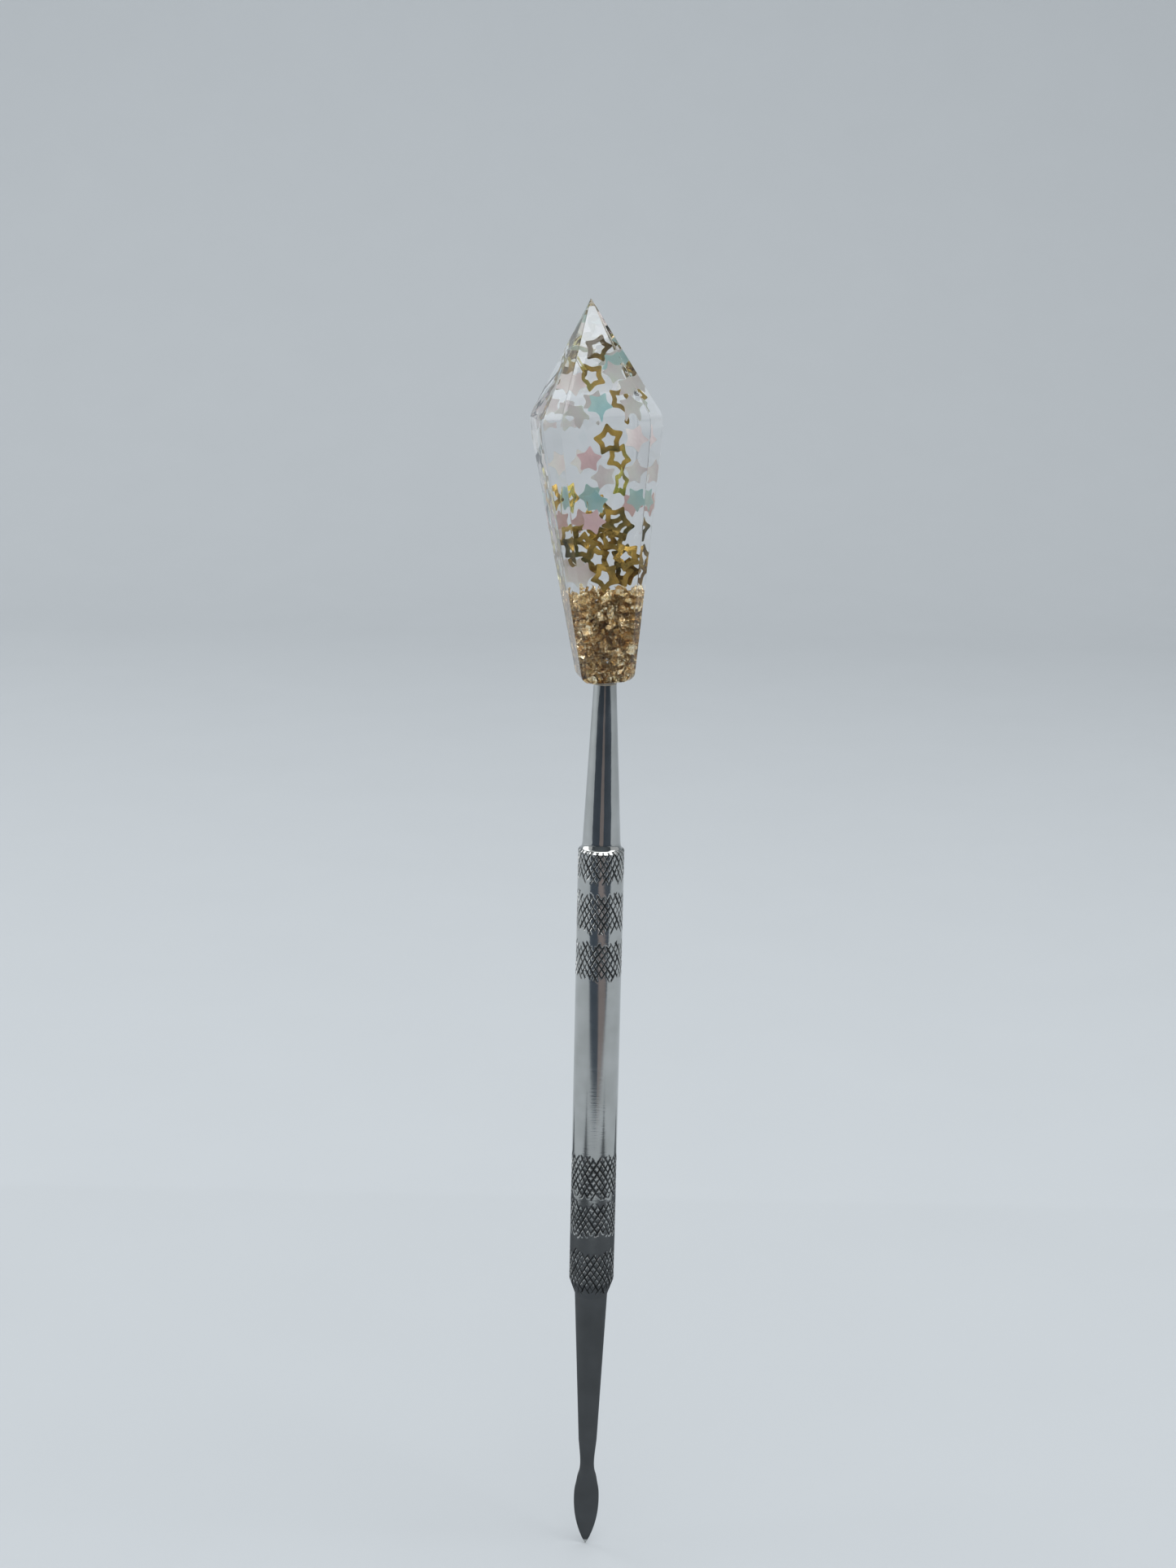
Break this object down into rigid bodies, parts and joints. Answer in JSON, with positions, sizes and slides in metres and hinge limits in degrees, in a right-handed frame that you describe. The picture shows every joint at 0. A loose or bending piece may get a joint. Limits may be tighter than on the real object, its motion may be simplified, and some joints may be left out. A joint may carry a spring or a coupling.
{
  "type": "magic wand",
  "caption": "Hand wand: a knurled polished steel tool with a faceted clear resin crystal, filled with star confetti and gold leaf, glued on its upper shank.",
  "frame": {"origin": "middle of the smooth grip between the knurled bands, on the handle's axis", "axes": "+Z along the handle's axis, towards the crystal; +X to the right as the crystal leans to the left; +Y away from the viewer, across the flat of the hidden blade"},
  "size_m": [0.0166, 0.0164, 0.17],
  "materials": {
    "polished_steel": "polished",
    "clear_resin": "polished",
    "leaf_resin": "polished",
    "glue": "gloss",
    "gold_leaf": "gloss",
    "gold_film": "gloss",
    "pearl_film": "gloss",
    "pink_film": "gloss",
    "aqua_film": "gloss"
  },
  "bodies": {
    "root": {"handle_bar": "polished_steel", "upper_shank": "polished_steel", "lower_shank": "polished_steel", "clear_pour": "clear_resin", "leaf_pour": "leaf_resin", "glue_bond": "glue", "gold_leaf": "gold_leaf", "outline_star_1": "gold_film", "outline_star_2": "gold_film", "outline_star_3": "gold_film", "outline_star_4": "gold_film", "outline_star_5": "gold_film", "outline_star_6": "gold_film", "outline_star_7": "gold_film", "outline_star_8": "gold_film", "outline_star_9": "gold_film", "outline_star_10": "gold_film", "outline_star_11": "gold_film", "outline_star_12": "gold_film", "outline_star_13": "gold_film", "outline_star_14": "gold_film", "outline_star_15": "gold_film", "outline_star_16": "gold_film", "outline_star_17": "gold_film", "outline_star_18": "gold_film", "outline_star_19": "gold_film", "outline_star_20": "gold_film", "outline_star_21": "gold_film", "outline_star_22": "gold_film", "outline_star_23": "gold_film", "pearl_star_1": "pearl_film", "pearl_star_2": "pearl_film", "pearl_star_3": "pearl_film", "pearl_star_4": "pearl_film", "pearl_star_5": "pearl_film", "pearl_star_6": "pearl_film", "pearl_star_7": "pearl_film", "pearl_star_8": "pearl_film", "pearl_star_9": "pearl_film", "pearl_star_10": "pearl_film", "pearl_star_11": "pearl_film", "pearl_star_12": "pearl_film", "pearl_star_13": "pearl_film", "pearl_star_14": "pearl_film", "pearl_star_15": "pearl_film", "pearl_star_16": "pearl_film", "pink_star_1": "pink_film", "pink_star_2": "pink_film", "pink_star_3": "pink_film", "pink_star_4": "pink_film", "aqua_star_1": "aqua_film", "aqua_star_2": "aqua_film", "aqua_star_3": "aqua_film", "aqua_star_4": "aqua_film", "aqua_star_5": "aqua_film"}
  },
  "joints": []
}
